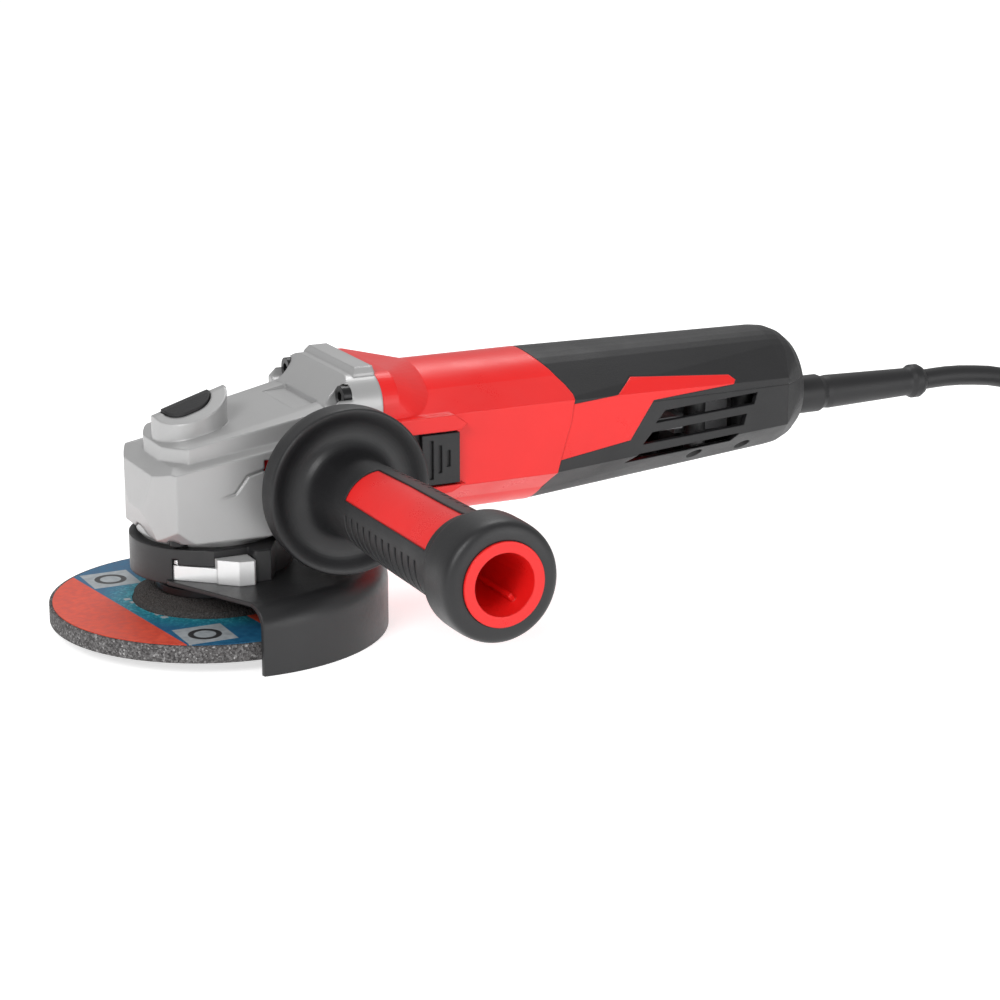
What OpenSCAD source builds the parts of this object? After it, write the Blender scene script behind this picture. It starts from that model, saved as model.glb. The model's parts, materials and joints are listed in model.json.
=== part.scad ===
// Corded 115 mm angle grinder with a side handle. Millimetres.
// The spindle runs along Z, the motor along +X, the side handle along -Y, +Z is up.
// The origin is on the spindle axis, at the outer face of the clamp nut.

/* [Wheel and guard] */
// Grinding wheel radius
wheel_r = 57.5; // [50:0.5:58]
// Gap between the wheel's edge and the guard's skirt
guard_gap = 3.4; // [3:0.1:4]
// Guard sheet thickness
guard_t = 1.6; // [1.4:0.1:2]
// Height of the guard's lower rim, below the nut's face
rim_z = -5.5; // [-7:0.5:-4]

/* [Body] */
// Radius of the motor housing's grip
grip_r = 28.3; // [28:0.1:28.8]
// Half width over the housing's side flats
flat_y = 29.6; // [29.5:0.1:29.9]
// Width and height of the gear case's rear flange
flange_w = 60; // [59:0.5:61]
// X of the rear end of the tail
tail_x = 237; // [236:0.5:240]

/* [Side handle] */
// Radius of the round hand flange
hand_r = 29.4; // [28:0.2:30.6]
// Radius of the hollow at the handle's mouth
hollow_r = 10.2; // [8:0.2:10.6]

/* [Cord] */
// Cord radius
cord_r = 4; // [3.5:0.25:4]

/* [Hidden] */
axis_z = 55;
eps = 0.01;
// gear pair
crown_n = 37;
pinion_n = 11;
gear_out = 22;
gear_in = 14;
mod_out = 2 * gear_out / crown_n;
// side handle
hx = 33;
hz = 51;
case_y = 31;
// wheel
rim_top = 5;
hub_top = 10;
hub_bot = 4;
// bearing cover's neck
neck_r = 24.5;
// lock button
lock_x = -8;
pin_x = -11;
// shell parting
part_z = 64.5;
shell_t = 2.4;
skin_t = 1.2;
// rear shell: radius, centre height and half width at its two ends
tail_r = 23.3;
tail_z = 58.7;
tail_y = 26.4;
// boot and cord
boot_z = 52.5;
route = [[210, 0, 52.5], [300, 0, 52.5], [312, 0, 52.8], [326, 0, 51.8], [339, 0, 49.6], [347, 0, 47.4],
    [355, 0, 44.2], [362, 0, 40], [369, 0, 35], [376, 0, 28.7], [383, 0, 22.4], [389, 0, 17], [395, 0, 12.8],
    [402, 0, 9.4], [409, 0, 7.3]];
coil_c = [418, -56];
coil_r = 42.5;
coil_w = 17.5;
coil_h = 16;

// smooth curve over control points, which it starts and ends at
function arc_point(a, b, c, t) = 0.5 * ((1 - t) * (1 - t) * a + (1 + 2 * t - 2 * t * t) * b + t * t * c);
function smooth(p, n = 4) = concat([p[0]], [for (i = [1:len(p) - 2], k = [0:n - 1])
    arc_point(p[i - 1], p[i], p[i + 1], k / n)], [(p[len(p) - 2] + p[len(p) - 1]) / 2, p[len(p) - 1]]);

// ---- helpers ----
module zcyl(z0, z1, r, x = 0, y = 0, fn = 64)
    translate([x, y, z0]) cylinder(h = z1 - z0, r = r, $fn = fn);
module xcyl(x0, x1, r, y = 0, z = axis_z, fn = 64)
    translate([x0, y, z]) rotate([0, 90, 0]) cylinder(h = x1 - x0, r = r, $fn = fn);
module ycyl(y0, y1, r, x, z, fn = 64)
    translate([x, y0, z]) rotate([-90, 0, 0]) cylinder(h = y1 - y0, r = r, $fn = fn);
module zring(z0, z1, ri, ro)
    difference() { zcyl(z0, z1, ro); zcyl(z0 - 1, z1 + 1, ri); }
module xring(x0, x1, ri, ro)
    difference() { xcyl(x0, x1, ro); xcyl(x0 - 1, x1 + 1, ri); }
// box from one corner to the other
module box(a, b) translate(a) cube(b - a);
// outline in X and Z, extruded along Y
module xz_plate(pts, y0, y1)
    translate([0, y1, 0]) rotate([90, 0, 0]) linear_extrude(y1 - y0) polygon(pts);
// rounded rectangle about the origin
module rrect(w, h, r) {
    square([w - 2 * r, h], center = true);
    square([w, h - 2 * r], center = true);
    for (i = [-1, 1], j = [-1, 1]) translate([i * (w / 2 - r), j * (h / 2 - r)]) circle(r, $fn = 48);
}
// rounded rectangle about the motor axis, extruded along X
module x_rrect(x0, x1, w, h, r)
    translate([x0, 0, axis_z]) rotate([90, 0, 90]) linear_extrude(x1 - x0) rrect(w, h, r);
module mirror_y() { children(); mirror([0, 1, 0]) children(); }
// profile of radius and distance, turned about the handle's axis and running out along -Y
module along_handle(pts, a0 = 0, turn = 360)
    translate([hx, -case_y, hz]) rotate([90, 0, 0]) rotate([0, 0, a0])
        rotate_extrude(angle = turn, $fn = 96) polygon(pts);

// ---- gear case ----
case_plan = concat(smooth([[-21.5, 26], [-24.5, 20], [-27.8, 10], [-28.2, 0], [-27.8, -10], [-24.5, -20],
    [-21.5, -26]]), [[12, -28], [43.4, -29.4], [43.4, 29.4], [12, 28]]);
case_side = [[-25.5, 32.5], [-28, 41.5], [-26.2, 55.6], [-20.5, 59], [43.4, 70.2], [43.4, 32.5]];
tier_plan = concat(smooth([[-15, 21], [-17.5, 17.5], [-21, 9], [-21.8, 0], [-21, -9], [-17.5, -17.5],
    [-15, -21]]), [[34, -25], [43.4, -25.6], [43.4, 25.6], [34, 25]]);
tier_side = [[-21.8, 50], [-20.6, 64.1], [43.4, 76.9], [43.4, 50]];
flange_side = [[35, 60], [35, 75.3], [43.4, 85], [54, 85], [54, 25], [43.4, 25], [38, 32.6], [38, 60]];
screw_y = 25;
screw_dz = 23.7;
case_seat = 42.8;
cover_at = 18.7;
lug_r = 3.7;
module at_cover_screws() for (i = [-1, 1], j = [-1, 1]) translate([i * cover_at, j * cover_at, 0]) children();
// sloping top with its long edges turned down
module case_roof(x, z, slope, flat, drop)
    translate([x, 0, z]) rotate([0, -slope, 0]) rotate([90, 0, 90]) translate([0, 0, -20]) linear_extrude(110)
        polygon([[-32, -45], [-32, drop * (flat - 32)], [-flat, 0], [flat, 0], [32, drop * (flat - 32)],
            [32, -45]]);
module case_body() {
    intersection() {
        case_roof(-20.5, 59.2, 9.95, 19, 0.22);
        translate([0, 0, 30]) linear_extrude(60) polygon(case_plan);
        xz_plate(case_side, -32, 32);
        union() {
            rotate_extrude($fn = 96)
                polygon([[0, 32.5], [30.2, 32.5], [34.6, 38.8], [38, 50], [38, 90], [0, 90]]);
            translate([6, 0, 0]) rotate([90, 0, 90]) linear_extrude(40)
                polygon([[-26, 32.5], [26, 32.5], [30, 38], [30, 90], [-30, 90], [-30, 38]]);
        }
    }
    intersection() {
        translate([0, 0, 50]) linear_extrude(40) polygon(tier_plan);
        xz_plate(tier_side, -32, 32);
        case_roof(-20.6, 64.3, 11.3, 17, 0.12);
    }
    intersection() {
        x_rrect(30, 60, flange_w, flange_w, 11);
        xz_plate(flange_side, -32, 32);
    }
    intersection() {
        xz_plate([[45.5, 84], [47.2, 87.4], [54, 87.4], [54, 84]], -22.4, 22.4);
        translate([40, 0, 0]) rotate([90, 0, 90]) linear_extrude(20)
            polygon([[-22.4, 80], [-22.4, 85.4], [-20.4, 87.4], [20.4, 87.4], [22.4, 85.4], [22.4, 80]]);
    }
    // round boss around the lock button, cut by a sloping ridged roof
    intersection() {
        translate([lock_x + 1.3, 0, 60]) linear_extrude(30) rrect(26.6, 24, 11.9);
        translate([lock_x, 0, 76.7]) rotate([0, -17.2, 0]) rotate([90, 0, 90])
            translate([0, 0, -20]) linear_extrude(40)
                polygon([[-14, -30], [-14, -4.6], [-1.5, -0.3], [1.5, -0.3], [14, -4.6], [14, -30]]);
    }
    mirror_y() ycyl(25, case_y, 11, hx, hz);
}
module gear_case() color("silver") difference() {
    case_body();
    zcyl(34, 50.5, 23.6);
    zcyl(50, 51.7, 18);
    zcyl(32, 35, 26, fn = 96);
    at_cover_screws() { zcyl(32, 35, lug_r + 0.7); zcyl(34, 43.4, 1.85); }
    zcyl(50, 65.2, 7);
    zcyl(50, 66.7, 2.06, pin_x);
    translate([lock_x, 0, 66.6]) linear_extrude(24) rrect(18, 15, 7.4);
    xcyl(12, 37, 8.6);
    xcyl(36.5, 49, 19);
    xcyl(48, 55, 25.6);
    // exhaust ports beside the gears, fed from the fan chamber
    mirror_y() box([10, 19, 52], [22, 32, 60]);
    mirror_y() box([20, 19.8, 57], [50, 24.3, 64]);
    // threaded holes for the side handle
    mirror_y() ycyl(19, 33, 4, hx, hz);
    for (i = [-1, 1], j = [-1, 1]) {
        xcyl(40, 55, 2, i * screw_y, axis_z + j * screw_dz);
        xcyl(30, case_seat, 4.2, i * screw_y, axis_z + j * screw_dz);
    }
    // shallow dish in the top, in front of the flange
    xz_plate([[26.5, 73.3], [35.5, 73.9], [35.5, 80], [26.5, 80]], -15, 15);
    // stepped line engraved in each side, fading towards the front
    for (y = [[-32, -26.9], [26.9, 32]]) xz_plate([[-9, 46.6], [-0.2, 48.6], [4.4, 54.6], [10, 56.2],
        [10, 57.1], [3.8, 55.4], [-0.8, 49.4], [-9, 47.5]], y[0], y[1]);
}
module bearing_cover() color("silver") difference() {
    union() {
        zcyl(31.5, 35, 26, fn = 96);
        at_cover_screws() zcyl(33.8, 35, lug_r);
        rotate_extrude($fn = 96) polygon([[0, 17], [neck_r, 17], [neck_r, 19.6], [23.2, 20], [23.2, 23.6],
            [neck_r, 24], [neck_r, 32], [0, 32]]);
    }
    zcyl(16, 19, 12);
    zcyl(18.6, 29.6, 17.5);
    zcyl(29, 36, 13);
    at_cover_screws() { zcyl(30, 36, 1.85); zcyl(30, 33.8, 3.4); }
}
// socket head screw: head on the low side of seat, shank above it
module screw_up(seat, len, head_r, head_h, r) difference() {
    union() { zcyl(seat - head_h, seat, head_r); zcyl(seat - eps, seat + len, r); }
    translate([0, 0, seat - head_h - 1]) cylinder(h = 1 + 0.6 * head_h, r = 0.5 * head_r, $fn = 6);
}
module cover_screws() color("dimgray") at_cover_screws() screw_up(33.8, 9.4, 3.3, 2.6, 1.85);
module case_screws() color("dimgray") for (i = [-1, 1], j = [-1, 1])
    translate([0, i * screw_y, axis_z + j * screw_dz]) rotate([0, 90, 0])
        screw_up(case_seat, 60 - case_seat, 3.8, 3.2, 2);

// ---- spindle lock ----
module lock_button() color("dimgray") difference() {
    intersection() {
        translate([lock_x, 0, 70.5]) linear_extrude(20) rrect(17.3, 14.3, 7.1);
        translate([lock_x, 0, 77.2]) rotate([0, -17.2, 0]) rotate([90, 0, 90])
            translate([0, 0, -20]) linear_extrude(40)
                polygon([[-14, -30], [-14, -4.3], [-1.5, 0], [1.5, 0], [14, -4.3], [14, -30]]);
    }
    zcyl(70, 73, 2, pin_x);
}
module lock_pin() color("silver") zcyl(47.3, 73, 2, pin_x);
module lock_spring() color("gray") difference() {
    zcyl(66.7, 70.4, 3.3, pin_x);
    zcyl(66, 71, 2.4, pin_x);
}

// ---- spindle bearings ----
module upper_bearing() color("lightsteelblue") zring(55.5, 65.1, 4.05, 7);
module lower_bearing_outer() color("lightsteelblue") difference() {
    zring(18.6, 29.6, 14.4, 17.5);
    rotate_extrude($fn = 64) translate([12.5, 24.1]) circle(2.45, $fn = 32);
}
module lower_bearing_inner() color("lightsteelblue") difference() {
    zring(18.6, 29.6, 7.5, 10.6);
    rotate_extrude($fn = 64) translate([12.5, 24.1]) circle(2.45, $fn = 32);
}
// ring of balls about the motor's axis
module ball_ring(x, r, ball, n) translate([x, 0, axis_z]) for (i = [0:n - 1]) rotate([i * 360 / n, 0, 0])
    translate([0, 0, r]) sphere(ball, $fn = 32);
module bearing_balls() color("white") {
    for (i = [0:8]) rotate([0, 0, i * 40]) translate([12.5, 0, 24.1]) sphere(2.35, $fn = 32);
    ball_ring(42, 9, 1.7, 9);
    ball_ring(163.5, 7.6, 1.5, 8);
}
module ball_track(x, r, ball) translate([x, 0, axis_z]) rotate([0, 90, 0])
    rotate_extrude($fn = 64) translate([r, 0]) circle(ball, $fn = 32);
module exhaust_inserts() color("red") mirror_y() difference() {
    box([10, 22.5, 52], [22, 25, 60]);
    for (k = [0:1]) box([13 + 4 * k, 21, 54], [15 + 4 * k, 26, 58.5]);
}

// ---- guard ----
band_r = 28.7;
band_in = neck_r + 0.05;
guard_r = wheel_r + guard_gap + guard_t;
plate_z = 17.2;
lever_a = 224;
lever_p = [26.6 * cos(lever_a), 26.6 * sin(lever_a)];
module guard_band() color("dimgray") difference() {
    union() {
        zcyl(plate_z, 30, band_r, fn = 96);
        translate([0, 0, plate_z + guard_t]) linear_extrude(30 - plate_z - guard_t)
            polygon([[-14, -24.5], [-9, -28.6], [4.2, -34.6], [9, -34.6], [16, -22], [0, -20]]);
    }
    zcyl(16, 31, band_in, fn = 96);
    // pocket and slot for the release lever
    box([-9.6, -36, 18.8], [3.2, -28.2, 31]);
    translate([0, 0, 18.8]) linear_extrude(5.6)
        polygon([[-24.5, -22.5], [-16.6, -17.4], [-8, -24.8], [3.2, -26.6], [3.2, -34], [-14, -34]]);
    box([-6.8, -30, 20.2], [-0.2, -23, 23.4]);
    translate([lever_p[0], lever_p[1], 18.8]) cylinder(h = 7.6, r = 2.3, $fn = 32);
    translate([lever_p[0], lever_p[1], 17.8]) cylinder(h = 10.7, r = 1, $fn = 32);
}
module lever_pin() color("silver") zcyl(17.8, 28.4, 1, lever_p[0], lever_p[1], 32);
module lever_spring() color("gray") translate([lever_p[0], lever_p[1], 24.3]) difference() {
    cylinder(h = 1.9, r = 1.9, $fn = 32);
    translate([0, 0, -1]) cylinder(h = 4, r = 1.02, $fn = 32);
}
module guard_lever() color("white") difference() {
    union() {
        translate([0, 0, 18.9]) linear_extrude(5.2) polygon([[lever_p[0] - 1.2, lever_p[1] - 1.5],
            [lever_p[0] + 1.3, lever_p[1] + 0.4], [-9.2, -26.6], [-6, -28.6], [-9, -30]]);
        translate([lever_p[0], lever_p[1], 18.9]) cylinder(h = 5.2, r = 1.9, $fn = 32);
        translate([0, 0, 18.9]) linear_extrude(8.6)
            polygon([[-9.2, -28.4], [-9.2, -31], [-3.4, -36.4], [1.8, -37.2], [2.6, -36.4], [2.6, -28.4]]);
        // pawl that reaches through the band into the neck's groove
        translate([0, 0, 20.5]) linear_extrude(2.6)
            polygon([[-6, -28.5], [-4.5, -23.9], [-2.5, -24.2], [-1, -28.5]]);
    }
    translate([lever_p[0], lever_p[1], 18]) cylinder(h = 7, r = 1.05, $fn = 32);
}
module wheel_guard() color("dimgray") difference() {
    rotate_extrude($fn = 120) difference() {
        union() {
            translate([band_r, plate_z]) square([guard_r - 8 - band_r, guard_t]);
            translate([guard_r - guard_t, rim_z]) square([guard_t, plate_z + guard_t - 8 - rim_z]);
            intersection() {
                translate([guard_r - 8, plate_z + guard_t - 8]) circle(8, $fn = 96);
                translate([guard_r - 8, plate_z + guard_t - 8]) square(8);
            }
        }
        translate([guard_r - 8, plate_z + guard_t - 8]) circle(8 - guard_t, $fn = 96);
    }
    // open towards the front; the free edges run in from the skirt to the band
    translate([0, 0, -20]) linear_extrude(60) polygon([[-3.5, 70], [-6.5, 55], [-23, 19], [-23, -19],
        [-6.5, -55], [-3.5, -70], [-90, -70], [-90, 70]]);
}

// ---- wheel and spindle ----
module grinding_wheel() color("gray") rotate_extrude($fn = 120) polygon([[12.35, hub_bot], [19, hub_bot],
    [26, -1], [wheel_r, -1], [wheel_r, rim_top], [28.1, rim_top], [27.7, 7.3], [20.6, hub_top],
    [12.35, hub_top]]);
module wheel_label() color("orangered") zring(rim_top, rim_top + 0.3, 28.4, wheel_r - 1.2);
module wheel_bush() color("silver") zring(hub_bot, hub_top, 11.15, 12.3);
module inner_flange() color("dimgray") difference() {
    rotate_extrude($fn = 96) polygon([[0, 7], [11.1, 7], [11.1, hub_top], [20, hub_top], [20, 12.6],
        [18.8, 13.6], [13, 13.6], [11.4, 16.3], [0, 16.3]]);
    zcyl(6, 17, 7.02);
}
module clamp_nut() color("dimgray") difference() {
    rotate_extrude($fn = 96) polygon([[0, 0], [18.2, 0], [19, 0.8], [19, hub_bot], [11.1, hub_bot],
        [11.1, 6.6], [0, 6.6]]);
    zcyl(-1, 8, 7.02);
    for (i = [-1, 1]) zcyl(-1, 5, 2.5, i * 15);
}
module spindle() color("silver") rotate_extrude($fn = 64) polygon([[0, 0.8], [6.2, 0.8], [7, 1.6], [7, 17],
    [7.5, 17.4], [7.5, 29.6], [9, 29.6], [9, 34.8], [6.5, 34.8], [6.5, 46.5], [4, 47], [4, 64], [3.4, 64.6],
    [0, 64.6]]);

// ---- bevel gears, cones meeting at the point where the two axes cross ----
// a tooth is a profile at the outer end and its copy shrunk towards that point
module cone_tooth(outer, k) {
    n = len(outer);
    pts = concat(outer, [for (p = outer) k * p]);
    polyhedron(points = pts, faces = concat([[for (i = [0:n - 1]) i], [for (i = [n - 1:-1:0]) n + i]],
        [for (i = [0:n - 1]) [i, n + i, n + (i + 1) % n, (i + 1) % n]]), convexity = 4);
}
pitch_drop = gear_out * pinion_n / crown_n;
crown_half = mod_out * PI / 4 - 0.14;
crown_add = 0.55 * mod_out;
crown_ded = 1.35 * mod_out;
pin_add = 0.95 * mod_out;
pin_ded = 0.95 * mod_out;
pin_half = mod_out * PI / 4 - 0.12;
root_slope = (pitch_drop - pin_ded) / gear_out;
module crown_gear() color("silver") difference() {
    union() {
        rotate_extrude($fn = 96) polygon([[0, 34.8], [9, 34.8], [9, 36], [13, 36], [22.8, 42],
            [22.8, axis_z - pitch_drop * 22.8 / 22 - crown_ded], [gear_in - 0.2,
            axis_z - (pitch_drop + crown_ded) * (gear_in - 0.2) / 22], [gear_in - 0.2, 46.9], [0, 46.9]]);
        translate([0, 0, axis_z]) for (i = [0:crown_n - 1]) rotate([0, 0, (i + 0.5) * 360 / crown_n])
            cone_tooth([[gear_out, crown_half + 0.36 * crown_ded + 0.2, -pitch_drop - crown_ded - 0.4],
                [gear_out, -crown_half - 0.36 * crown_ded - 0.2, -pitch_drop - crown_ded - 0.4],
                [gear_out, -crown_half + 0.36 * crown_add, -pitch_drop + crown_add],
                [gear_out, crown_half - 0.36 * crown_add, -pitch_drop + crown_add]],
                gear_in / gear_out);
    }
    zcyl(30, 60, 6.5);
    for (i = [0:3]) rotate([0, 0, i * 90]) zcyl(37, 48, 2.4, pin_x);
}
module pinion() color("silver") difference() {
    union() {
        translate([0, 0, axis_z]) rotate([0, 90, 0]) rotate(180 / pinion_n) rotate_extrude($fn = 48)
            polygon([[0, gear_in - 0.2], [root_slope * (gear_in - 0.2), gear_in - 0.2],
                [root_slope * (gear_out + 0.3), gear_out + 0.3], [pitch_drop + 0.6, gear_out + 0.3],
                [pitch_drop + 0.6, gear_out + 5], [0, gear_out + 5]]);
        translate([0, 0, axis_z]) for (i = [0:pinion_n - 1]) rotate([i * 360 / pinion_n, 0, 0])
            cone_tooth([[gear_out, pin_half + 0.2, -(pitch_drop - 0.45 * pin_ded)],
                [gear_out, pin_half - 0.03, -pitch_drop],
                [gear_out, pin_half - 0.38, -(pitch_drop + 0.55 * pin_add)],
                [gear_out, pin_half - 0.72, -(pitch_drop + pin_add)],
                [gear_out, -pin_half + 0.72, -(pitch_drop + pin_add)],
                [gear_out, -pin_half + 0.38, -(pitch_drop + 0.55 * pin_add)],
                [gear_out, -pin_half + 0.03, -pitch_drop],
                [gear_out, -pin_half - 0.2, -(pitch_drop - 0.45 * pin_ded)],
                [gear_out, -pin_half - 0.5, -(pitch_drop - pin_ded - 0.3)],
                [gear_out, pin_half + 0.5, -(pitch_drop - pin_ded - 0.3)]],
                gear_in / gear_out);
    }
    xcyl(10, 30, 2.2);
}

// ---- armature ----
module armature_shaft() color("silver") translate([0, 0, axis_z]) rotate([0, 90, 0]) rotate_extrude($fn = 64)
    polygon([[0, 14.4], [2.2, 14.4], [2.2, 27.1], [4.6, 27.1], [4.6, 38], [5, 38], [5, 76], [6, 76], [6, 132],
        [5, 132], [5, 160], [4, 160], [4, 168], [0, 168]]);
module armature_core() color("lightgray") translate([84, 0, axis_z]) rotate([0, 90, 0]) linear_extrude(38)
    difference() {
        circle(17.5, $fn = 72);
        circle(6, $fn = 64);
        for (i = [0:11]) rotate([0, 0, i * 30]) {
            translate([10.5, -2]) square([5.5, 4]);
            translate([15, -0.7]) square([4, 1.4]);
        }
    }
module armature_windings() color("peru") {
    for (x = [76.5, 122.2]) translate([x, 0, axis_z]) rotate([0, 90, 0]) rotate_extrude($fn = 64)
        polygon([[6, 0], [13, 0], [16, 2.5], [16, 5.5], [14.6, 7.3], [6, 7.3]]);
    for (i = [0:11]) translate([0, 0, axis_z]) rotate([i * 30, 0, 0])
        box([83.7, -1.9, 10.6], [122.3, 1.9, 15.9]);
}
module commutator() color("peru") difference() {
    xring(138, 156, 5, 11);
    for (i = [0:23]) translate([0, 0, axis_z]) rotate([i * 15, 0, 0]) box([137, -0.2, 10.2], [153, 0.2, 12]);
}
module fan() color("dimgray") {
    xring(58, 71, 5, 9);
    xring(69, 71, 8.9, 24);
    for (i = [0:10]) translate([0, 0, axis_z]) rotate([i * 360 / 11, 0, 0])
        box([59, -0.7, 8.8], [69.1, 0.7, 23.5]);
}
module bearing_plate() color("dimgray") difference() {
    xcyl(36.6, 48.8, 19);
    xcyl(36, 50, 6.4);
    xcyl(38, 50, 13);
}
module front_bearing_outer() color("lightsteelblue") difference() {
    xring(38, 46, 10, 13);
    ball_track(42, 9, 1.75);
}
module front_bearing_inner() color("lightsteelblue") difference() {
    xring(38, 46, 5, 8);
    ball_track(42, 9, 1.75);
}
module rear_bearing_outer() color("lightsteelblue") difference() {
    xring(160, 167, 8.5, 11);
    ball_track(163.5, 7.6, 1.55);
}
module rear_bearing_inner() color("lightsteelblue") difference() {
    xring(160, 167, 4, 6.7);
    ball_track(163.5, 7.6, 1.55);
}
module stator_core() color("lightgray") translate([84, 0, axis_z]) rotate([0, 90, 0]) linear_extrude(38)
    difference() {
        circle(24.7, $fn = 64);
        circle(18, $fn = 96);
        for (a = [55, 125, 235, 305]) rotate([0, 0, a]) translate([17, -3.6]) square([5.6, 7.2]);
    }
module field_coils() color("peru") {
    for (s = [0, 180]) translate([0, 0, axis_z]) rotate([s, 0, 0]) {
        for (a = [-1, 1]) rotate([a * 55, 0, 0]) box([77, -3.4, 18.3], [129, 3.4, 22]);
        for (x = [76, 125]) translate([x, 0, 0]) rotate([90, 0, 90]) rotate([0, 0, 30])
            rotate_extrude(angle = 120, $fn = 96) translate([18.4, 0]) square([3.6, 4.8]);
    }
}

// ---- motor housing ----
seam = [[119, 20], [120.3, 31.6], [122, 39.7], [125.2, 50.7], [128.4, 60.8], [129.4, 67.5], [130, 70.5],
    [128.9, 73.2], [125.6, 78.1], [121, 83.2], [118, 90]];
slot_z = [51.9, 57.1];
// side flats, from and to this far above the motor's axis
// and the points where their slopes meet the round grip
side_low = -12.5;
side_high = 14;
function slope_end(dz) = let (a = atan2(dz, flat_y) + sign(dz) * acos(grip_r / norm([flat_y, dz])))
    (grip_r - 0.3) * [cos(a), sin(a)];
high = slope_end(side_high);
low = slope_end(side_low);
module motor_housing() color("red") difference() {
    union() {
        intersection() {
            union() {
                hull() { x_rrect(54, 60, flange_w, flange_w, 11); xcyl(75, 76, grip_r); }
                xcyl(75, 135, grip_r, fn = 96);
                // flat sides, joined to the round grip by tangent planes
                translate([62, 0, axis_z]) rotate([90, 0, 90]) linear_extrude(73)
                    polygon([[flat_y, side_low], [flat_y, side_high], high, [-high[0], high[1]],
                        [-flat_y, side_high], [-flat_y, side_low], [-low[0], low[1]], low]);
                // hood over the slide switch and lip below it
                xz_plate([[56, 63.9], [82.4, 63.9], [85, 66], [80, 69.6], [56, 69.6]], -33.4, -20);
                xz_plate([[56, 41.4], [79, 41.4], [84.5, 44.1], [56, 44.1]], -32.6, -20);
            }
            xz_plate(concat([[50, 90], [50, 20]], seam), -40, 40);
        }
        xcyl(118, 133, 23.6);
        xcyl(132, 152, 22.9);
        translate([152, 0, axis_z]) rotate([0, 90, 0]) cylinder(h = 17, r1 = 22.9, r2 = 14, $fn = 64);
    }
    xcyl(50, 72.6, 25.6);
    xcyl(72, 122.2, 24.7);
    xcyl(122, 131, 22.6);
    xcyl(130, 152, 21.8);
    translate([151.9, 0, axis_z]) rotate([0, 90, 0]) cylinder(h = 6.7, r1 = 21.8, r2 = 16, $fn = 64);
    xcyl(158, 160, 12.5);
    xcyl(159, 167.2, 11);
    xcyl(166, 170, 4.6);
    // switch pocket, slot through its floor and channel for the rod
    box([55, -34, 44], [82.4, -28.05, 64]);
    box([62, -28.1, slot_z[0]], [136, -26, slot_z[1]]);
    // brush windows
    mirror_y() ycyl(20, 26, 4.7, 147, axis_z);
    for (i = [-1, 1], j = [-1, 1]) xcyl(53, 60.2, 2, i * screw_y, axis_z + j * screw_dz);
}

// ---- brushes ----
module brush_holders() color("gold") mirror_y() difference() {
    union() { box([142.5, 12.4, 51], [151.5, 21.4, 59]); ycyl(21.3, 22.8, 4.7, 147, axis_z); }
    box([143.7, 12, 52.2], [150.3, 21.3, 57.8]);
}
module brush_right() color("dimgray") box([143.8, 11.05, 52.3], [150.2, 18, 57.7]);
module brush_left() color("dimgray") mirror([0, 1, 0]) brush_right();
module brush_spring_right() color("gray") difference() {
    ycyl(18.05, 21.25, 2.4, 147, axis_z, 32);
    ycyl(18, 22, 1.7, 147, axis_z, 32);
}
module brush_spring_left() color("gray") mirror([0, 1, 0]) brush_spring_right();

// ---- switch ----
module switch_slider() color("dimgray") difference() {
    union() {
        box([61.3, -30.8, 44.3], [82, -28.2, 63.7]);
        box([67.4, -32.9, 44.9], [82, -30.7, 63.1]);
        box([70, -28.3, 52.2], [76, -27.7, 56.8]);
    }
    for (k = [0:2]) box([70.4 + 3.3 * k, -34, 47 + 2 * k], [71.7 + 3.3 * k, -32, 61 - 2 * k]);
}
module switch_rod() color("black") translate([0, 0, 52.2]) linear_extrude(4.6)
    polygon([[70, -27.7], [70, -26.1], [134.3, -26.1], [138, -23.9], [175.6, -23.9], [175.6, -9],
        [178.9, -9], [178.9, -22], [177.1, -25.1], [138, -25.1], [134, -27.7]]);
module switch_body() color("dimgray") {
    box([180.5, -13, 47], [203.5, 4, 62]);
    box([179.2, -10, 51], [180.6, -5, 58]);
    for (y = [-10, -3]) box([203.4, y, 50], [207, y + 4, 58]);
}

// ---- rear housing ----
module rear_form(t) hull() {
    xcyl(118, 119, grip_r - t, 0, axis_z, 48);
    box([118, -flat_y + t, axis_z + side_low], [119, flat_y - t, axis_z + side_high]);
    xcyl(221, 222, tail_r - t, 0, tail_z, 48);
    box([221, -tail_y + t, 49], [222, tail_y - t, 67]);
    // rounded tail
    for (a = [18:18:72])
        xcyl(222, 222 + (tail_x - 222 - t) * sin(a), 11 + (tail_r - 11 - t) * cos(a), 0, tail_z, 48);
    xcyl(222, tail_x - t, 11, 0, tail_z, 48);
}
module seam_back(gap) xz_plate(concat([for (p = seam) p + [gap, 0]], [[260, 90], [260, 20]]), -40, 40);
panel = [[100, 66.5], [100, 43], [124, 47], [153.3, 51], [163, 65], [197.5, 67.2], [199, 68.5], [197.1, 70.2],
    [156.2, 73.2], [148, 68.6], [129.7, 67.3]];
vents = [[164, 56.2, 207, 58.5, 4.4], [158.6, 48.7, 202.5, 51, 4.2], [153, 41.6, 199, 44.4, 3.7]];
column = [[186, 18.5], [186, -18.5], [208, 16.5], [208, -16.5]];
clamp_x = 216;
module panel_cut() xz_plate(panel, -40, 40);
module shell_wall() difference() {
    intersection() { rear_form(0); seam_back(0.02); }
    rear_form(shell_t);
    // recess for the side panels
    difference() { panel_cut(); rear_form(skin_t); }
    // channel for the switch rod
    box([120, -28.1, slot_z[0]], [142, -20, slot_z[1]]);
    // air slots
    for (v = vents) xz_plate([[v[0], v[1]], [v[2], v[3]], [v[2] + 1.3, v[3] + v[4]], [v[0] + 4, v[1] + v[4]]],
        -40, 40);
}
module rear_shell_top() color("dimgray") {
    intersection() { shell_wall(); box([100, -40, part_z], [260, 40, 100]); }
    intersection() {
        rear_form(2);
        difference() {
            for (c = column) zcyl(part_z, 100, 4, c[0], c[1]);
            for (c = column) zcyl(part_z - 1, part_z + 4, 1.55, c[0], c[1]);
        }
    }
}
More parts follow.
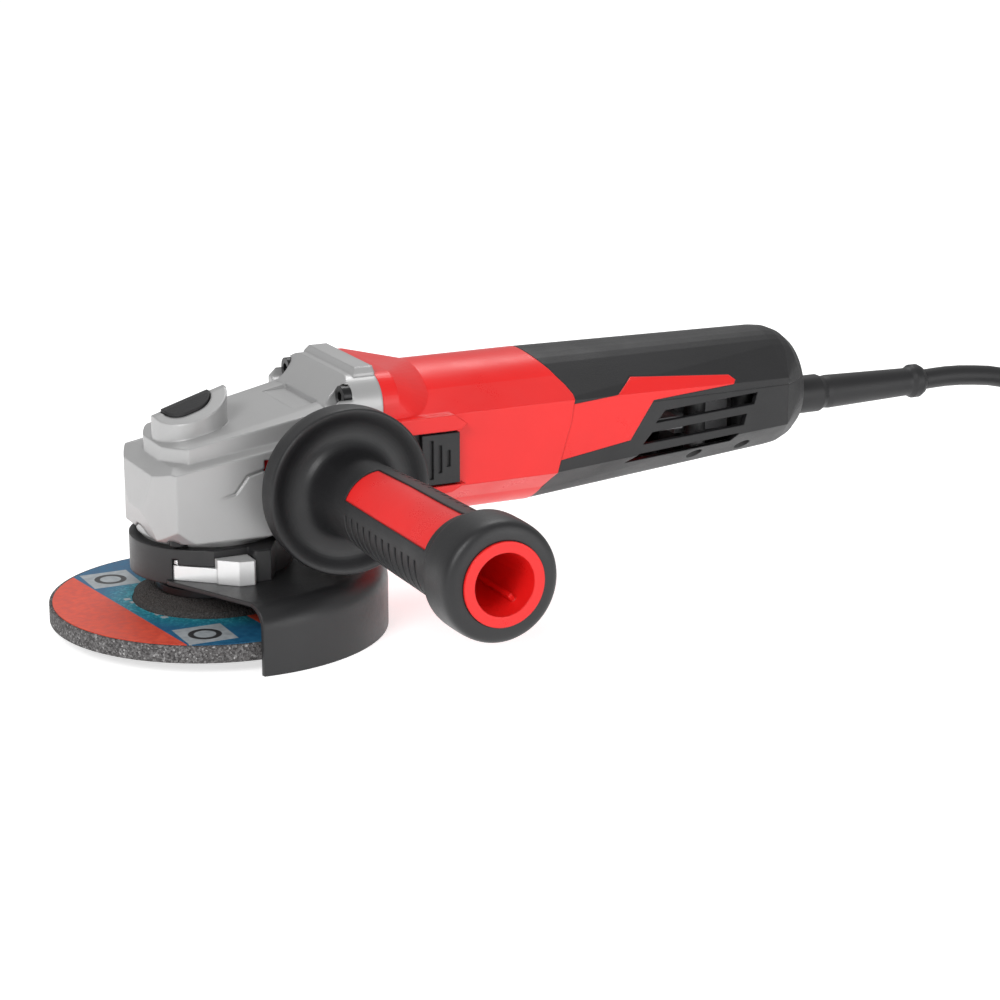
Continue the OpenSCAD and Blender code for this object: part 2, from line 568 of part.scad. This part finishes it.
module rear_shell_bottom() color("dimgray") difference() {
    union() {
        intersection() { shell_wall(); box([100, -40, 0], [260, 40, part_z - 0.02]); }
        intersection() {
            rear_form(2);
            for (c = column) zcyl(0, part_z - 0.02, 4, c[0], c[1]);
        }
        // stand for the switch, saddle for the cord and wall that holds the boot
        intersection() { rear_form(2); box([182, -10, 30], [200, 1, 47]); }
        intersection() {
            rear_form(2);
            difference() {
                box([clamp_x - 4, -11, 30], [clamp_x + 4, 11, 50.5]);
                xcyl(clamp_x - 5, clamp_x + 5, cord_r, 0, boot_z);
            }
        }
        intersection() { rear_form(2); box([226, -12, 38], [228.4, 12, part_z - 0.1]); }
    }
    for (c = column) {
        zcyl(0, part_z + 1, 1.55, c[0], c[1]);
        zcyl(0, 47, 3, c[0], c[1]);
    }
    for (i = [-1, 1]) zcyl(38, 52, 1.55, clamp_x, i * 7.5);
    xcyl(225, 240, 6.5, 0, boot_z);
}
module shell_screws() color("dimgray") {
    for (c = column) translate([c[0], c[1], 0]) screw_up(47, 20.4, 2.9, 2.4, 1.55);
    for (i = [-1, 1]) translate([clamp_x, i * 7.5, 0]) mirror([0, 0, 1])
        screw_up(-59.5, 20.4, 2.9, 2.4, 1.55);
}
module side_panel(side) color("red") intersection() {
    difference() { rear_form(0); rear_form(skin_t); }
    panel_cut();
    seam_back(0.05);
    box([100, side > 0 ? 18 : -40, 0], [260, side > 0 ? 40 : -18, 100]);
}
module side_panel_left() side_panel(-1);
module side_panel_right() side_panel(1);
module cord_clamp() color("black") difference() {
    box([clamp_x - 3.5, -11, 54], [clamp_x + 3.5, 11, 59.5]);
    xcyl(clamp_x - 5, clamp_x + 5, cord_r, 0, boot_z);
    for (i = [-1, 1]) zcyl(50, 60, 1.55, clamp_x, i * 7.5);
}

// ---- cord ----
module cord_boot() color("dimgray") translate([0, 0, boot_z]) rotate([0, 90, 0]) rotate_extrude($fn = 48)
    polygon([[cord_r, 222.8], [9.2, 222.8], [9.2, 225.9], [6.4, 225.9], [6.4, 237.2], [7.3, 237.8],
        [7.3, 251], [6.2, 253.5], [6.5, 256], [5.5, 292], [5.6, 293.4], [6.6, 295.2], [6.6, 298],
        [5.6, 299.8], [cord_r, 300]]);
function unit(v) = v / norm(v);
function dir_at(i) = unit(route[min(i + 1, len(route) - 1)] - route[max(i - 1, 0)]);
function ring(i, sides) = let (d = i < 2 ? [1, 0, 0] : dir_at(i), u = unit(cross([0, 0, 1], d)),
    w = cross(d, u))
    [for (k = [0:sides - 1]) route[i] + cord_r * (cos(k * 360 / sides) * u + sin(k * 360 / sides) * w)];
module cord_tube() color("dimgray") {
    n = len(route);
    s = 12;
    polyhedron(points = [for (i = [0:n - 1]) each ring(i, s)], faces = concat(
        [[for (k = [0:s - 1]) k]], [[for (k = [s - 1:-1:0]) (n - 1) * s + k]],
        [for (i = [0:n - 2], k = [0:s - 1])
            [i * s + k, (i + 1) * s + k, (i + 1) * s + (k + 1) % s, i * s + (k + 1) % s]]),
        convexity = 6);
}
module cord_coil() color("dimgray") translate([coil_c[0], coil_c[1], rim_z]) rotate_extrude($fn = 96)
    polygon([[coil_r - coil_w, 3], [coil_r - coil_w + 3, 0], [coil_r + coil_w - 3, 0], [coil_r + coil_w, 3],
        [coil_r + coil_w, coil_h - 3], [coil_r + coil_w - 3, coil_h], [coil_r - coil_w + 3, coil_h],
        [coil_r - coil_w, coil_h - 3]]);
plug_c = [474, 5.2];
module plug_body() color("dimgray") translate([plug_c[0], plug_c[1], rim_z]) {
    linear_extrude(15)
        polygon([[-26, -6.5], [-8, -12], [12, -17.5], [18, -17.5], [18, 17.5], [12, 17.5], [-8, 12],
            [-26, 6.5]]);
    translate([-38, 0, 7.5]) rotate([0, 90, 0]) cylinder(h = 13, r1 = 5, r2 = 6.4, $fn = 32);
}
module plug_pins() color("silver") translate([plug_c[0], plug_c[1], rim_z + 7.5]) for (i = [-1, 1])
    translate([18, i * 9.5, 0]) rotate([0, 90, 0]) cylinder(h = 19, r = 2.4, $fn = 48);

// ---- side handle ----
grip_out = smooth([[21, 1.2], [23.5, 3], [28.8, 8], [hand_r, 11], [hand_r, 16], [29.4, 18.8], [27, 18.4],
    [23.5, 15.4], [19, 15.2], [15.4, 17.4], [14, 22], [13.6, 28], [14.6, 45], [15.4, 70], [15.6, 95],
    [16, 108], [16.6, 115], [17.2, 117.4], [19.8, 118.4], [19.9, 123], [19.9, 131], [19.2, 134.2],
    [17, 135.4],
    [13.75, 135.6]]);
panel_a = [94, 158];
module panel_sector(grow) along_handle([[10, 44 - grow], [20, 44 - grow], [20, 110.5 + grow],
    [10, 110.5 + grow]],
    panel_a[0] - grow, panel_a[1] - panel_a[0] + 2 * grow);
module handle_core() color("red") {
    along_handle([[0, 60], [4, 60], [4, 0], [11, 0], [11, 112], [12.6, 125], [13.7, 130], [13.7, 136.4],
        [hollow_r, 136.4], [8.6, 104], [0, 104]]);
    intersection() {
        along_handle([[10.5, 40], [13.9, 40], [14.9, 70], [15.1, 95], [15.6, 113], [10.5, 113]]);
        panel_sector(0);
    }
    // rib along the hollow
    translate([hx, -case_y - 130, hz]) rotate([0, 50, 0]) translate([7.4, 0, -0.8]) cube([2.6, 26, 1.6]);
}
module handle_grip() color("dimgray") difference() {
    along_handle(concat([[11.02, 1.2]], grip_out, [[13.75, 129.9], [12.65, 125], [11.02, 112]]));
    panel_sector(0.05);
    // shallow grooves round the grip
    for (k = [0:11]) along_handle([[13.7 + 0.09 * k, 46.9 + 5.2 * k], [20, 46 + 5.2 * k],
        [20, 49 + 5.2 * k], [13.7 + 0.09 * k, 48.1 + 5.2 * k]], 175, 262);
}
module handle_stud() color("silver") ycyl(-case_y - 60, -19.4, 4, hx, hz);

gear_case();
bearing_cover();
cover_screws();
case_screws();
lock_button();
lock_pin();
lock_spring();
upper_bearing();
lower_bearing_outer();
lower_bearing_inner();
bearing_balls();
exhaust_inserts();
guard_band();
wheel_guard();
guard_lever();
lever_pin();
lever_spring();
grinding_wheel();
wheel_label();
wheel_bush();
inner_flange();
clamp_nut();
spindle();
crown_gear();
pinion();
armature_shaft();
armature_core();
armature_windings();
commutator();
fan();
bearing_plate();
front_bearing_outer();
front_bearing_inner();
rear_bearing_outer();
rear_bearing_inner();
stator_core();
field_coils();
motor_housing();
brush_holders();
brush_left();
brush_right();
brush_spring_left();
brush_spring_right();
switch_slider();
switch_rod();
switch_body();
rear_shell_top();
rear_shell_bottom();
side_panel_left();
side_panel_right();
shell_screws();
cord_clamp();
cord_boot();
cord_tube();
cord_coil();
plug_body();
plug_pins();
handle_core();
handle_grip();
handle_stud();
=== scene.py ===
import bpy
import bmesh
import json
import math
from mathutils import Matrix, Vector


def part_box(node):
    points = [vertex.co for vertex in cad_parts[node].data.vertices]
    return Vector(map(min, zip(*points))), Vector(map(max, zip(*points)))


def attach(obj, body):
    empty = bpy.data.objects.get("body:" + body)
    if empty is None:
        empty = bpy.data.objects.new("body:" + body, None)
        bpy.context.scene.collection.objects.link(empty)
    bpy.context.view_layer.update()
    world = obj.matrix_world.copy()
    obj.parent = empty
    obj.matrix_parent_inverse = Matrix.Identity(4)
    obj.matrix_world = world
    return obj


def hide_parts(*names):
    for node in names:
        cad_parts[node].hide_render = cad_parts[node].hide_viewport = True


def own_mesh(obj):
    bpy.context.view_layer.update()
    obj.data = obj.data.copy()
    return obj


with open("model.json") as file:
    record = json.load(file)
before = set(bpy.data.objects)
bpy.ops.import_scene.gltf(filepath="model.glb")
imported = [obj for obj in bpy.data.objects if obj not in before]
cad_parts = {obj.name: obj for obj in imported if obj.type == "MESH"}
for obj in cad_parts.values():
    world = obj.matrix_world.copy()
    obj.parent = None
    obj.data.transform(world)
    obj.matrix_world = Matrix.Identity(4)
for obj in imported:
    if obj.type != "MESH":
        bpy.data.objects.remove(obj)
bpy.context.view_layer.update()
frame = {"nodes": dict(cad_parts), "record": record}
NODES = frame["nodes"]
MM = 0.001

scene = bpy.context.scene
scene.view_settings.view_transform = "Standard"
scene.view_settings.look = "None"

# ------------------------------------------------------------------ camera
CAM_AT = Vector((-0.3314, -0.9005, 0.3064))
CAM_TO = Vector((0.0957, -0.0372, 0.0376))
LENS, SENSOR = 101.2, 36
FLOOR_Z = -5.5 * MM

cam_data = bpy.data.cameras.new("camera")
cam = bpy.data.objects.new("camera", cam_data)
scene.collection.objects.link(cam)
scene.camera = cam
cam.location = CAM_AT
cam.rotation_euler = (CAM_TO - CAM_AT).to_track_quat("-Z", "Y").to_euler()
cam_data.lens = LENS
cam_data.sensor_width = SENSOR
cam_data.clip_start = 0.05
cam_data.clip_end = 30


# ------------------------------------------------------------------ node helpers
def new_mat(name):
    m = bpy.data.materials.new(name)
    m.use_nodes = True
    t = m.node_tree
    for n in list(t.nodes):
        t.nodes.remove(n)
    out = t.nodes.new("ShaderNodeOutputMaterial")
    b = t.nodes.new("ShaderNodeBsdfPrincipled")
    t.links.new(b.outputs[0], out.inputs[0])
    return m, t, b


def node(t, kind, **props):
    n = t.nodes.new(kind)
    for k, v in props.items():
        setattr(n, k, v)
    return n


def put(t, socket, value):
    """Sets a socket to a value, or links it to another node's socket."""
    if isinstance(value, bpy.types.NodeSocket):
        t.links.new(value, socket)
    else:
        socket.default_value = value


def coords(t):
    return node(t, "ShaderNodeTexCoord").outputs["Object"]


def noise(t, vec, scale, detail=3.0, rough=0.5):
    n = node(t, "ShaderNodeTexNoise")
    put(t, n.inputs["Vector"], vec)
    put(t, n.inputs["Scale"], scale)
    put(t, n.inputs["Detail"], detail)
    put(t, n.inputs["Roughness"], rough)
    return n.outputs["Fac"]


def voronoi(t, vec, scale, feature="F1"):
    n = node(t, "ShaderNodeTexVoronoi", feature=feature)
    put(t, n.inputs["Vector"], vec)
    put(t, n.inputs["Scale"], scale)
    return n


def ramp(t, fac, stops):
    """Colours at their positions along fac."""
    n = node(t, "ShaderNodeValToRGB")
    put(t, n.inputs[0], fac)
    e = n.color_ramp.elements
    while len(e) < len(stops):
        e.new(0.5)
    for el, (p, c) in zip(e, stops):
        el.position = p
        el.color = c if len(c) == 4 else (*c, 1)
    return n.outputs[0]


def span(t, fac, low, high, to_low, to_high):
    """Maps low to high onto to_low to to_high, and clamps outside."""
    n = node(t, "ShaderNodeMapRange")
    put(t, n.inputs[0], fac)
    for k, v in zip((1, 2, 3, 4), (low, high, to_low, to_high)):
        n.inputs[k].default_value = v
    return n.outputs[0]


def math_node(t, op, a, b=0.0, c=0.0):
    n = node(t, "ShaderNodeMath", operation=op)
    for k, v in enumerate((a, b, c)):
        put(t, n.inputs[k], v)
    return n.outputs[0]


def mix_col(t, fac, a, b):
    n = node(t, "ShaderNodeMix", data_type="RGBA")
    put(t, n.inputs[0], fac)
    put(t, n.inputs[6], a)
    put(t, n.inputs[7], b)
    return n.outputs[2]


def distance(t, x, y, cx=0.0, cy=0.0):
    """How far a point x, y is from a centre."""
    dx, dy = (math_node(t, "SUBTRACT", a, c) for a, c in ((x, cx), (y, cy)))
    squares = [math_node(t, "MULTIPLY", d, d) for d in (dx, dy)]
    return math_node(t, "SQRT", math_node(t, "ADD", *squares))


def split(t, vec):
    n = node(t, "ShaderNodeSeparateXYZ")
    put(t, n.inputs[0], vec)
    return n.outputs[0], n.outputs[1]


def bump(t, height, strength, distance, normal=None):
    """Strength is a share, and distance is in metres."""
    n = node(t, "ShaderNodeBump")
    put(t, n.inputs["Height"], height)
    n.inputs["Strength"].default_value = strength
    n.inputs["Distance"].default_value = distance
    if normal is not None:
        put(t, n.inputs["Normal"], normal)
    return n.outputs[0]


def soft_edge(t, radius):
    """A normal that looks as if the edges had this radius, in metres."""
    n = node(t, "ShaderNodeBevel", samples=6)
    n.inputs[0].default_value = radius
    return n.outputs[0]


def surface(name, color, rough, metal=0.0, grain=900.0, grain_depth=0.00004, grain_strength=0.5, spread=0.08,
            rough_spread=0.06, edge=0.0004, spec=0.5):
    """A general finish: fine grain, slow variation of the colour and roughness, and rounded edges."""
    m, t, b = new_mat(name)
    v = coords(t)
    slow = noise(t, v, 28.0, 4.0)
    fine = noise(t, v, grain, 4.0, 0.6)
    dark = tuple(c * (1 - spread) for c in color)
    light = tuple(min(1, c * (1 + spread)) for c in color)
    patches = span(t, noise(t, v, 65.0, 5.0), 0.3, 0.7, rough - rough_spread, rough + rough_spread)
    put(t, b.inputs["Base Color"], ramp(t, slow, [(0.35, dark), (0.65, light)]))
    put(t, b.inputs["Roughness"], math_node(t, "ADD", patches, span(t, fine, 0.3, 0.7, -0.03, 0.03)))
    b.inputs["Metallic"].default_value = metal
    b.inputs["Specular IOR Level"].default_value = spec
    put(t, b.inputs["Normal"], bump(t, fine, grain_strength, grain_depth, soft_edge(t, edge)))
    return m


# ------------------------------------------------------------------ materials
# colour, roughness, metal, grain scale, its depth and strength, then the spread of the colour
CAST = surface("cast_grey", (0.42, 0.42, 0.42), 0.40, 0.45, 1900.0, 0.00007, 0.55, 0.025,
               rough_spread=0.03, edge=0.0011)
RED = surface("red_plastic", (0.74, 0.012, 0.011), 0.33, 0.0, 2600.0, 0.00003, 0.35, 0.04,
              edge=0.0008, spec=0.4)
BLACK = surface("black_plastic", (0.010, 0.010, 0.011), 0.50, 0.0, 1900.0, 0.00009, 0.8, 0.12,
                edge=0.0008, spec=0.45)
RUBBER = surface("black_rubber", (0.008, 0.008, 0.009), 0.47, 0.0, 1800.0, 0.00005, 0.5, 0.12, edge=0.0008)
PAINT = surface("black_paint", (0.013, 0.013, 0.014), 0.40, 0.0, 900.0, 0.00005, 0.35, 0.10, edge=0.0007)
DARK = surface("dark_steel", (0.020, 0.020, 0.021), 0.32, 0.6, 1500.0, 0.00003, 0.4, 0.1)
STEEL = surface("bright_steel", (0.62, 0.62, 0.63), 0.25, 1.0, 2200.0, 0.00002, 0.4, 0.05)
SILVER = surface("silver_cast", (0.78, 0.78, 0.78), 0.34, 0.55, 1500.0, 0.00005, 0.4, 0.03, edge=0.0005)
COPPER = surface("copper", (0.62, 0.22, 0.09), 0.3, 0.9, 1600.0, 0.00005, 0.5, 0.1)
BRASS = surface("brass", (0.70, 0.50, 0.20), 0.3, 0.9, 1600.0, 0.00003, 0.4, 0.08)
LAMINA = surface("lamination", (0.32, 0.32, 0.34), 0.4, 0.8, 1200.0, 0.00004, 0.5, 0.1)
CARBON = surface("carbon", (0.03, 0.03, 0.03), 0.6, 0.0, 1500.0, 0.00005, 0.5, 0.15)
GREY = surface("grey_plastic", (0.13, 0.13, 0.135), 0.45, 0.0, 1800.0, 0.00004, 0.4, 0.1)


# wheel and its label, about the wheel's axis
HUB_R = 0.0280
BAND = (-0.0333, -0.0012)
BAND_SLANT = 0.1135
BOXES = ((-0.0266, 0.0335), (-0.0182, -0.0410))
BOX_HALF = 0.0088
RING = (0.0038, 0.0058)
GLOW = (0.027, 0.040)
DASHES = 7
DASH_AT, DASH_STEP, DASH_HALF = (-0.0290, 0.008), (0.0008, -0.0042), 0.0012


def abrasive():
    """Coarse grit, with a smooth dark hub."""
    m, t, b = new_mat("abrasive")
    v = coords(t)
    cells = voronoi(t, v, 1500.0)
    grit = noise(t, v, 700.0, 6.0, 0.7)
    col = ramp(t, cells.outputs["Color"], [(0.0, (0.022, 0.021, 0.021)), (0.45, (0.085, 0.080, 0.080)),
                                           (0.8, (0.17, 0.165, 0.165)), (0.97, (0.42, 0.41, 0.41))])
    r = distance(t, *split(t, v))
    smooth_hub = ramp(t, noise(t, v, 900.0, 4.0), [(0.3, (0.035, 0.030, 0.028)),
                                                   (0.7, (0.065, 0.058, 0.054))])
    col = mix_col(t, span(t, r, HUB_R, HUB_R + 0.0004, 0.9, 0.0), col, smooth_hub)
    put(t, b.inputs["Base Color"], col)
    put(t, b.inputs["Roughness"], span(t, cells.outputs["Distance"], 0.0, 0.6, 0.5, 0.95))
    h = math_node(t, "ADD", cells.outputs["Distance"], grit)
    put(t, b.inputs["Normal"], bump(t, h, 1.0, 0.0005))
    return m


def label():
    """Printed wheel label: warm sides, a blue band off the centre with two pale boxes, and a teal glow."""
    m, t, b = new_mat("label")
    v = coords(t)
    x, y = split(t, v)

    def within(val, lo, hi, soft=0.00012):
        return math_node(t, "MULTIPLY", span(t, val, lo - soft, lo + soft, 0, 1),
                         span(t, val, hi - soft, hi + soft, 1, 0))

    def box_at(cx, cy, half):
        return math_node(t, "MULTIPLY", within(x, cx - half, cx + half), within(y, cy - half, cy + half))

    weave = noise(t, v, 420.0, 4.0)
    warm = ramp(t, weave, [(0.3, (0.62, 0.055, 0.028)), (0.7, (0.80, 0.095, 0.045))])
    blue = ramp(t, weave, [(0.3, (0.010, 0.085, 0.19)), (0.7, (0.018, 0.14, 0.27))])
    pale = ramp(t, weave, [(0.3, (0.30, 0.33, 0.35)), (0.7, (0.42, 0.45, 0.47))])
    fleck = voronoi(t, v, 1300.0).outputs["Color"]
    teal = ramp(t, fleck, [(0.0, (0.0, 0.13, 0.18)), (0.6, (0.005, 0.27, 0.34)), (0.9, (0.10, 0.50, 0.58))])
    r = distance(t, x, y)
    across = math_node(t, "ADD", x, math_node(t, "MULTIPLY", y, BAND_SLANT))
    inner = mix_col(t, span(t, r, GLOW[0], GLOW[1], 1.0, 0.0), blue, teal)
    col = mix_col(t, within(across, BAND[0], BAND[1]), warm, inner)
    for cx, cy in BOXES:
        col = mix_col(t, box_at(cx, cy, BOX_HALF), col, pale)
        col = mix_col(t, within(distance(t, x, y, cx, cy), RING[0], RING[1]), col, (0.03, 0.03, 0.032, 1))
    for k in range(DASHES):
        dash = box_at(DASH_AT[0] + DASH_STEP[0] * k, DASH_AT[1] + DASH_STEP[1] * k, DASH_HALF)
        col = mix_col(t, dash, col, pale)
    put(t, b.inputs["Base Color"], col)
    put(t, b.inputs["Roughness"], span(t, weave, 0.3, 0.7, 0.42, 0.55))
    put(t, b.inputs["Normal"], bump(t, noise(t, v, 900.0, 4.0, 0.7), 0.5, 0.00012))
    return m


# the finish of each material slot
FINISH = {
    "cast_grey": CAST, "red_plastic": RED, "black_plastic": BLACK, "black_rubber": RUBBER,
    "black_paint": PAINT, "dark_steel": DARK, "bright_steel": STEEL, "silver_cast": SILVER,
    "copper": COPPER, "brass": BRASS, "lamination": LAMINA, "carbon": CARBON,
    "abrasive": abrasive(), "label": label(), "grey_plastic": GREY,
}
for part in frame["record"]["subparts"]:
    o = NODES[part["node"]]
    o.data.materials.clear()
    o.data.materials.append(FINISH[part["material_slot"]])


def smooth_by_angle(o, degrees=30.0):
    """Smooth shading, with the edges sharper than an angle kept crisp."""
    me = o.data
    bm = bmesh.new()
    bm.from_mesh(me)
    limit = math.radians(degrees)
    for f in bm.faces:
        f.smooth = True
    for e in bm.edges:
        e.smooth = len(e.link_faces) == 2 and e.calc_face_angle(0.0) < limit
    bm.to_mesh(me)
    bm.free()


for o in NODES.values():
    smooth_by_angle(o)


# ------------------------------------------------------------------ cord
# in mm: the route from the boot to the floor, a coil wound inwards and then outwards below it, and the end
# at the plug
CORD_R = 3.98
ROUTE = [(294, 0, 52.5), (300, 0, 52.5), (306, 0, 52.7), (312, 0, 52.8), (319, 0, 52.5), (326, 0, 51.8),
         (333, 0, 50.9), (339, 0, 49.6), (347, 0, 47.4), (355, 0, 44.2), (362, 0, 40), (369, 0, 35),
         (376, 0, 28.9), (383, 0, 22.6), (389, 0, 17.4), (395, 0, 13.2), (402, 0, 9.6), (409, 0, 7.4)]
COIL = (418.0, -56.0)
COIL_OUT, COIL_IN, PITCH = 56.0, 29.0, 8.0
TOP_Z, LOW_Z, DROP = 6.5, -1.5, 0.25
STEPS = 28
TO_PLUG = [(424, 0.5, -1.2), (430, 2.2, -0.2), (436, 4.2, 1.2), (442, 5.2, 2.0)]


def coil_points():
    """Two layers: in along the upper one, down by DROP of a turn, and out along the lower one."""
    turns_in = (COIL_OUT - COIL_IN) / PITCH
    total = 2 * turns_in + DROP
    out = []
    n = int(total * STEPS)
    for i in range(n + 1):
        s = total * i / n
        if s < turns_in:
            r, z = COIL_OUT - PITCH * s, TOP_Z
        elif s < turns_in + DROP:
            k = (s - turns_in) / DROP
            r, z = COIL_IN, TOP_Z + (LOW_Z - TOP_Z) * (3 * k * k - 2 * k ** 3)
        else:
            r, z = COIL_IN + PITCH * (s - turns_in - DROP), LOW_Z
        a = math.pi / 2 - 2 * math.pi * s
        out.append((COIL[0] + r * math.cos(a), COIL[1] + r * math.sin(a), z))
    return out


pts = ROUTE + coil_points() + TO_PLUG
cu = bpy.data.curves.new("cord", "CURVE")
cu.dimensions = "3D"
cu.bevel_depth = CORD_R * MM
cu.bevel_resolution = 5
cu.use_fill_caps = True
sp = cu.splines.new("POLY")
sp.points.add(len(pts) - 1)
for p, q in zip(sp.points, pts):
    p.co = (*(c * MM for c in q), 1)
sp.use_smooth = True
cord = bpy.data.objects.new("cord", cu)
scene.collection.objects.link(cord)
cu.materials.append(RUBBER)
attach(cord, "housing")
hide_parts("cord_tube", "cord_coil")

# ------------------------------------------------------------------ springs
TURN_STEPS = 24


def coil_spring(name, node_name, axis, wire, turns, body, joint=None, fixed="low"):
    """A wire coil inside the space of its CAD tube. With a joint, it gets a mesh of its own; the anchor at
    its fixed end is worked out but not used.
    """
    low, high = (Vector(v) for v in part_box(node_name))
    mid = (low + high) / 2
    k = "XYZ".index(axis)
    i, j = [n for n in range(3) if n != k]
    radius = (high[i] - low[i]) / 2 - wire
    start, end = low[k] + wire, high[k] - wire
    curve = bpy.data.curves.new(name, "CURVE")
    curve.dimensions = "3D"
    curve.bevel_depth = wire
    curve.bevel_resolution = 3
    curve.use_fill_caps = True
    spline = curve.splines.new("POLY")
    count = int(turns * TURN_STEPS)
    spline.points.add(count)
    for n, point in enumerate(spline.points):
        a = 2 * math.pi * turns * n / count
        at = [0.0, 0.0, 0.0]
        at[i] = mid[i] + radius * math.cos(a)
        at[j] = mid[j] + radius * math.sin(a)
        at[k] = start + (end - start) * n / count
        point.co = (*at, 1)
    holder = bpy.data.objects.new(name + "_curve", curve)
    scene.collection.objects.link(holder)
    bpy.context.view_layer.update()
    mesh = bpy.data.meshes.new_from_object(holder.evaluated_get(bpy.context.evaluated_depsgraph_get()))
    bpy.data.objects.remove(holder)
    o = bpy.data.objects.new(name, mesh)
    scene.collection.objects.link(o)
    mesh.materials.clear()
    mesh.materials.append(STEEL)
    for f in mesh.polygons:
        f.use_smooth = True
    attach(o, body)
    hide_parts(node_name)
    if joint:
        anchor = list(mid)
        anchor[k] = (low if fixed == "low" else high)[k]
        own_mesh(o)


coil_spring("spring_lock", "lock_spring", "Z", 0.0003, 4.5, "housing", "lock_press", "low")
coil_spring("spring_lever", "lever_spring", "Z", 0.00025, 3, "guard_set")
for side, fixed_end in (("left", "low"), ("right", "high")):
    coil_spring(f"spring_brush_{side}", f"brush_spring_{side}", "Y", 0.0002, 3, "housing",
                f"brush_{side}_slide", fixed_end)

# ------------------------------------------------------------------ floor and light
FLOOR_HALF = 6.0
FLOOR_GLOW = 0.62
WORLD_LIGHT = 0.5

me = bpy.data.meshes.new("floor")
bm = bmesh.new()
bmesh.ops.create_grid(bm, x_segments=2, y_segments=2, size=FLOOR_HALF)
bm.to_mesh(me)
bm.free()
floor = bpy.data.objects.new("floor", me)
scene.collection.objects.link(floor)
floor.location = (0, 0, FLOOR_Z)
m, t, b = new_mat("floor")
put(t, b.inputs["Base Color"],
    ramp(t, noise(t, coords(t), 3.0), [(0.3, (0.80, 0.80, 0.80)), (0.7, (0.82, 0.82, 0.82))]))
b.inputs["Roughness"].default_value = 0.7
b.inputs["Emission Color"].default_value = (1, 1, 1, 1)
b.inputs["Emission Strength"].default_value = FLOOR_GLOW
me.materials.append(m)

world = bpy.data.worlds.new("world")
scene.world = world
world.use_nodes = True
bg = world.node_tree.nodes["Background"]
bg.inputs[0].default_value = (1, 1, 1, 1)
bg.inputs[1].default_value = WORLD_LIGHT


def area(name, at, to, size, power):
    """A square light of a size in metres and a power in watts, aimed at a point."""
    d = bpy.data.lights.new(name, "AREA")
    d.energy = power
    d.size = size
    o = bpy.data.objects.new(name, d)
    scene.collection.objects.link(o)
    o.location = at
    o.rotation_euler = (Vector(to) - Vector(at)).to_track_quat("-Z", "Y").to_euler()


area("key", (-1.1, -1.0, 1.1), (0.05, 0, 0.04), 0.7, 17)
area("fill", (0.8, -1.5, 0.35), (0.1, 0, 0.05), 0.8, 7)
area("rim", (0.5, 0.7, 1.2), (0.1, 0, 0.04), 0.45, 5)

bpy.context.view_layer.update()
length = sum((Vector(a) - Vector(b)).length for a, b in zip(pts, pts[1:])) * MM
print("cord length", length)
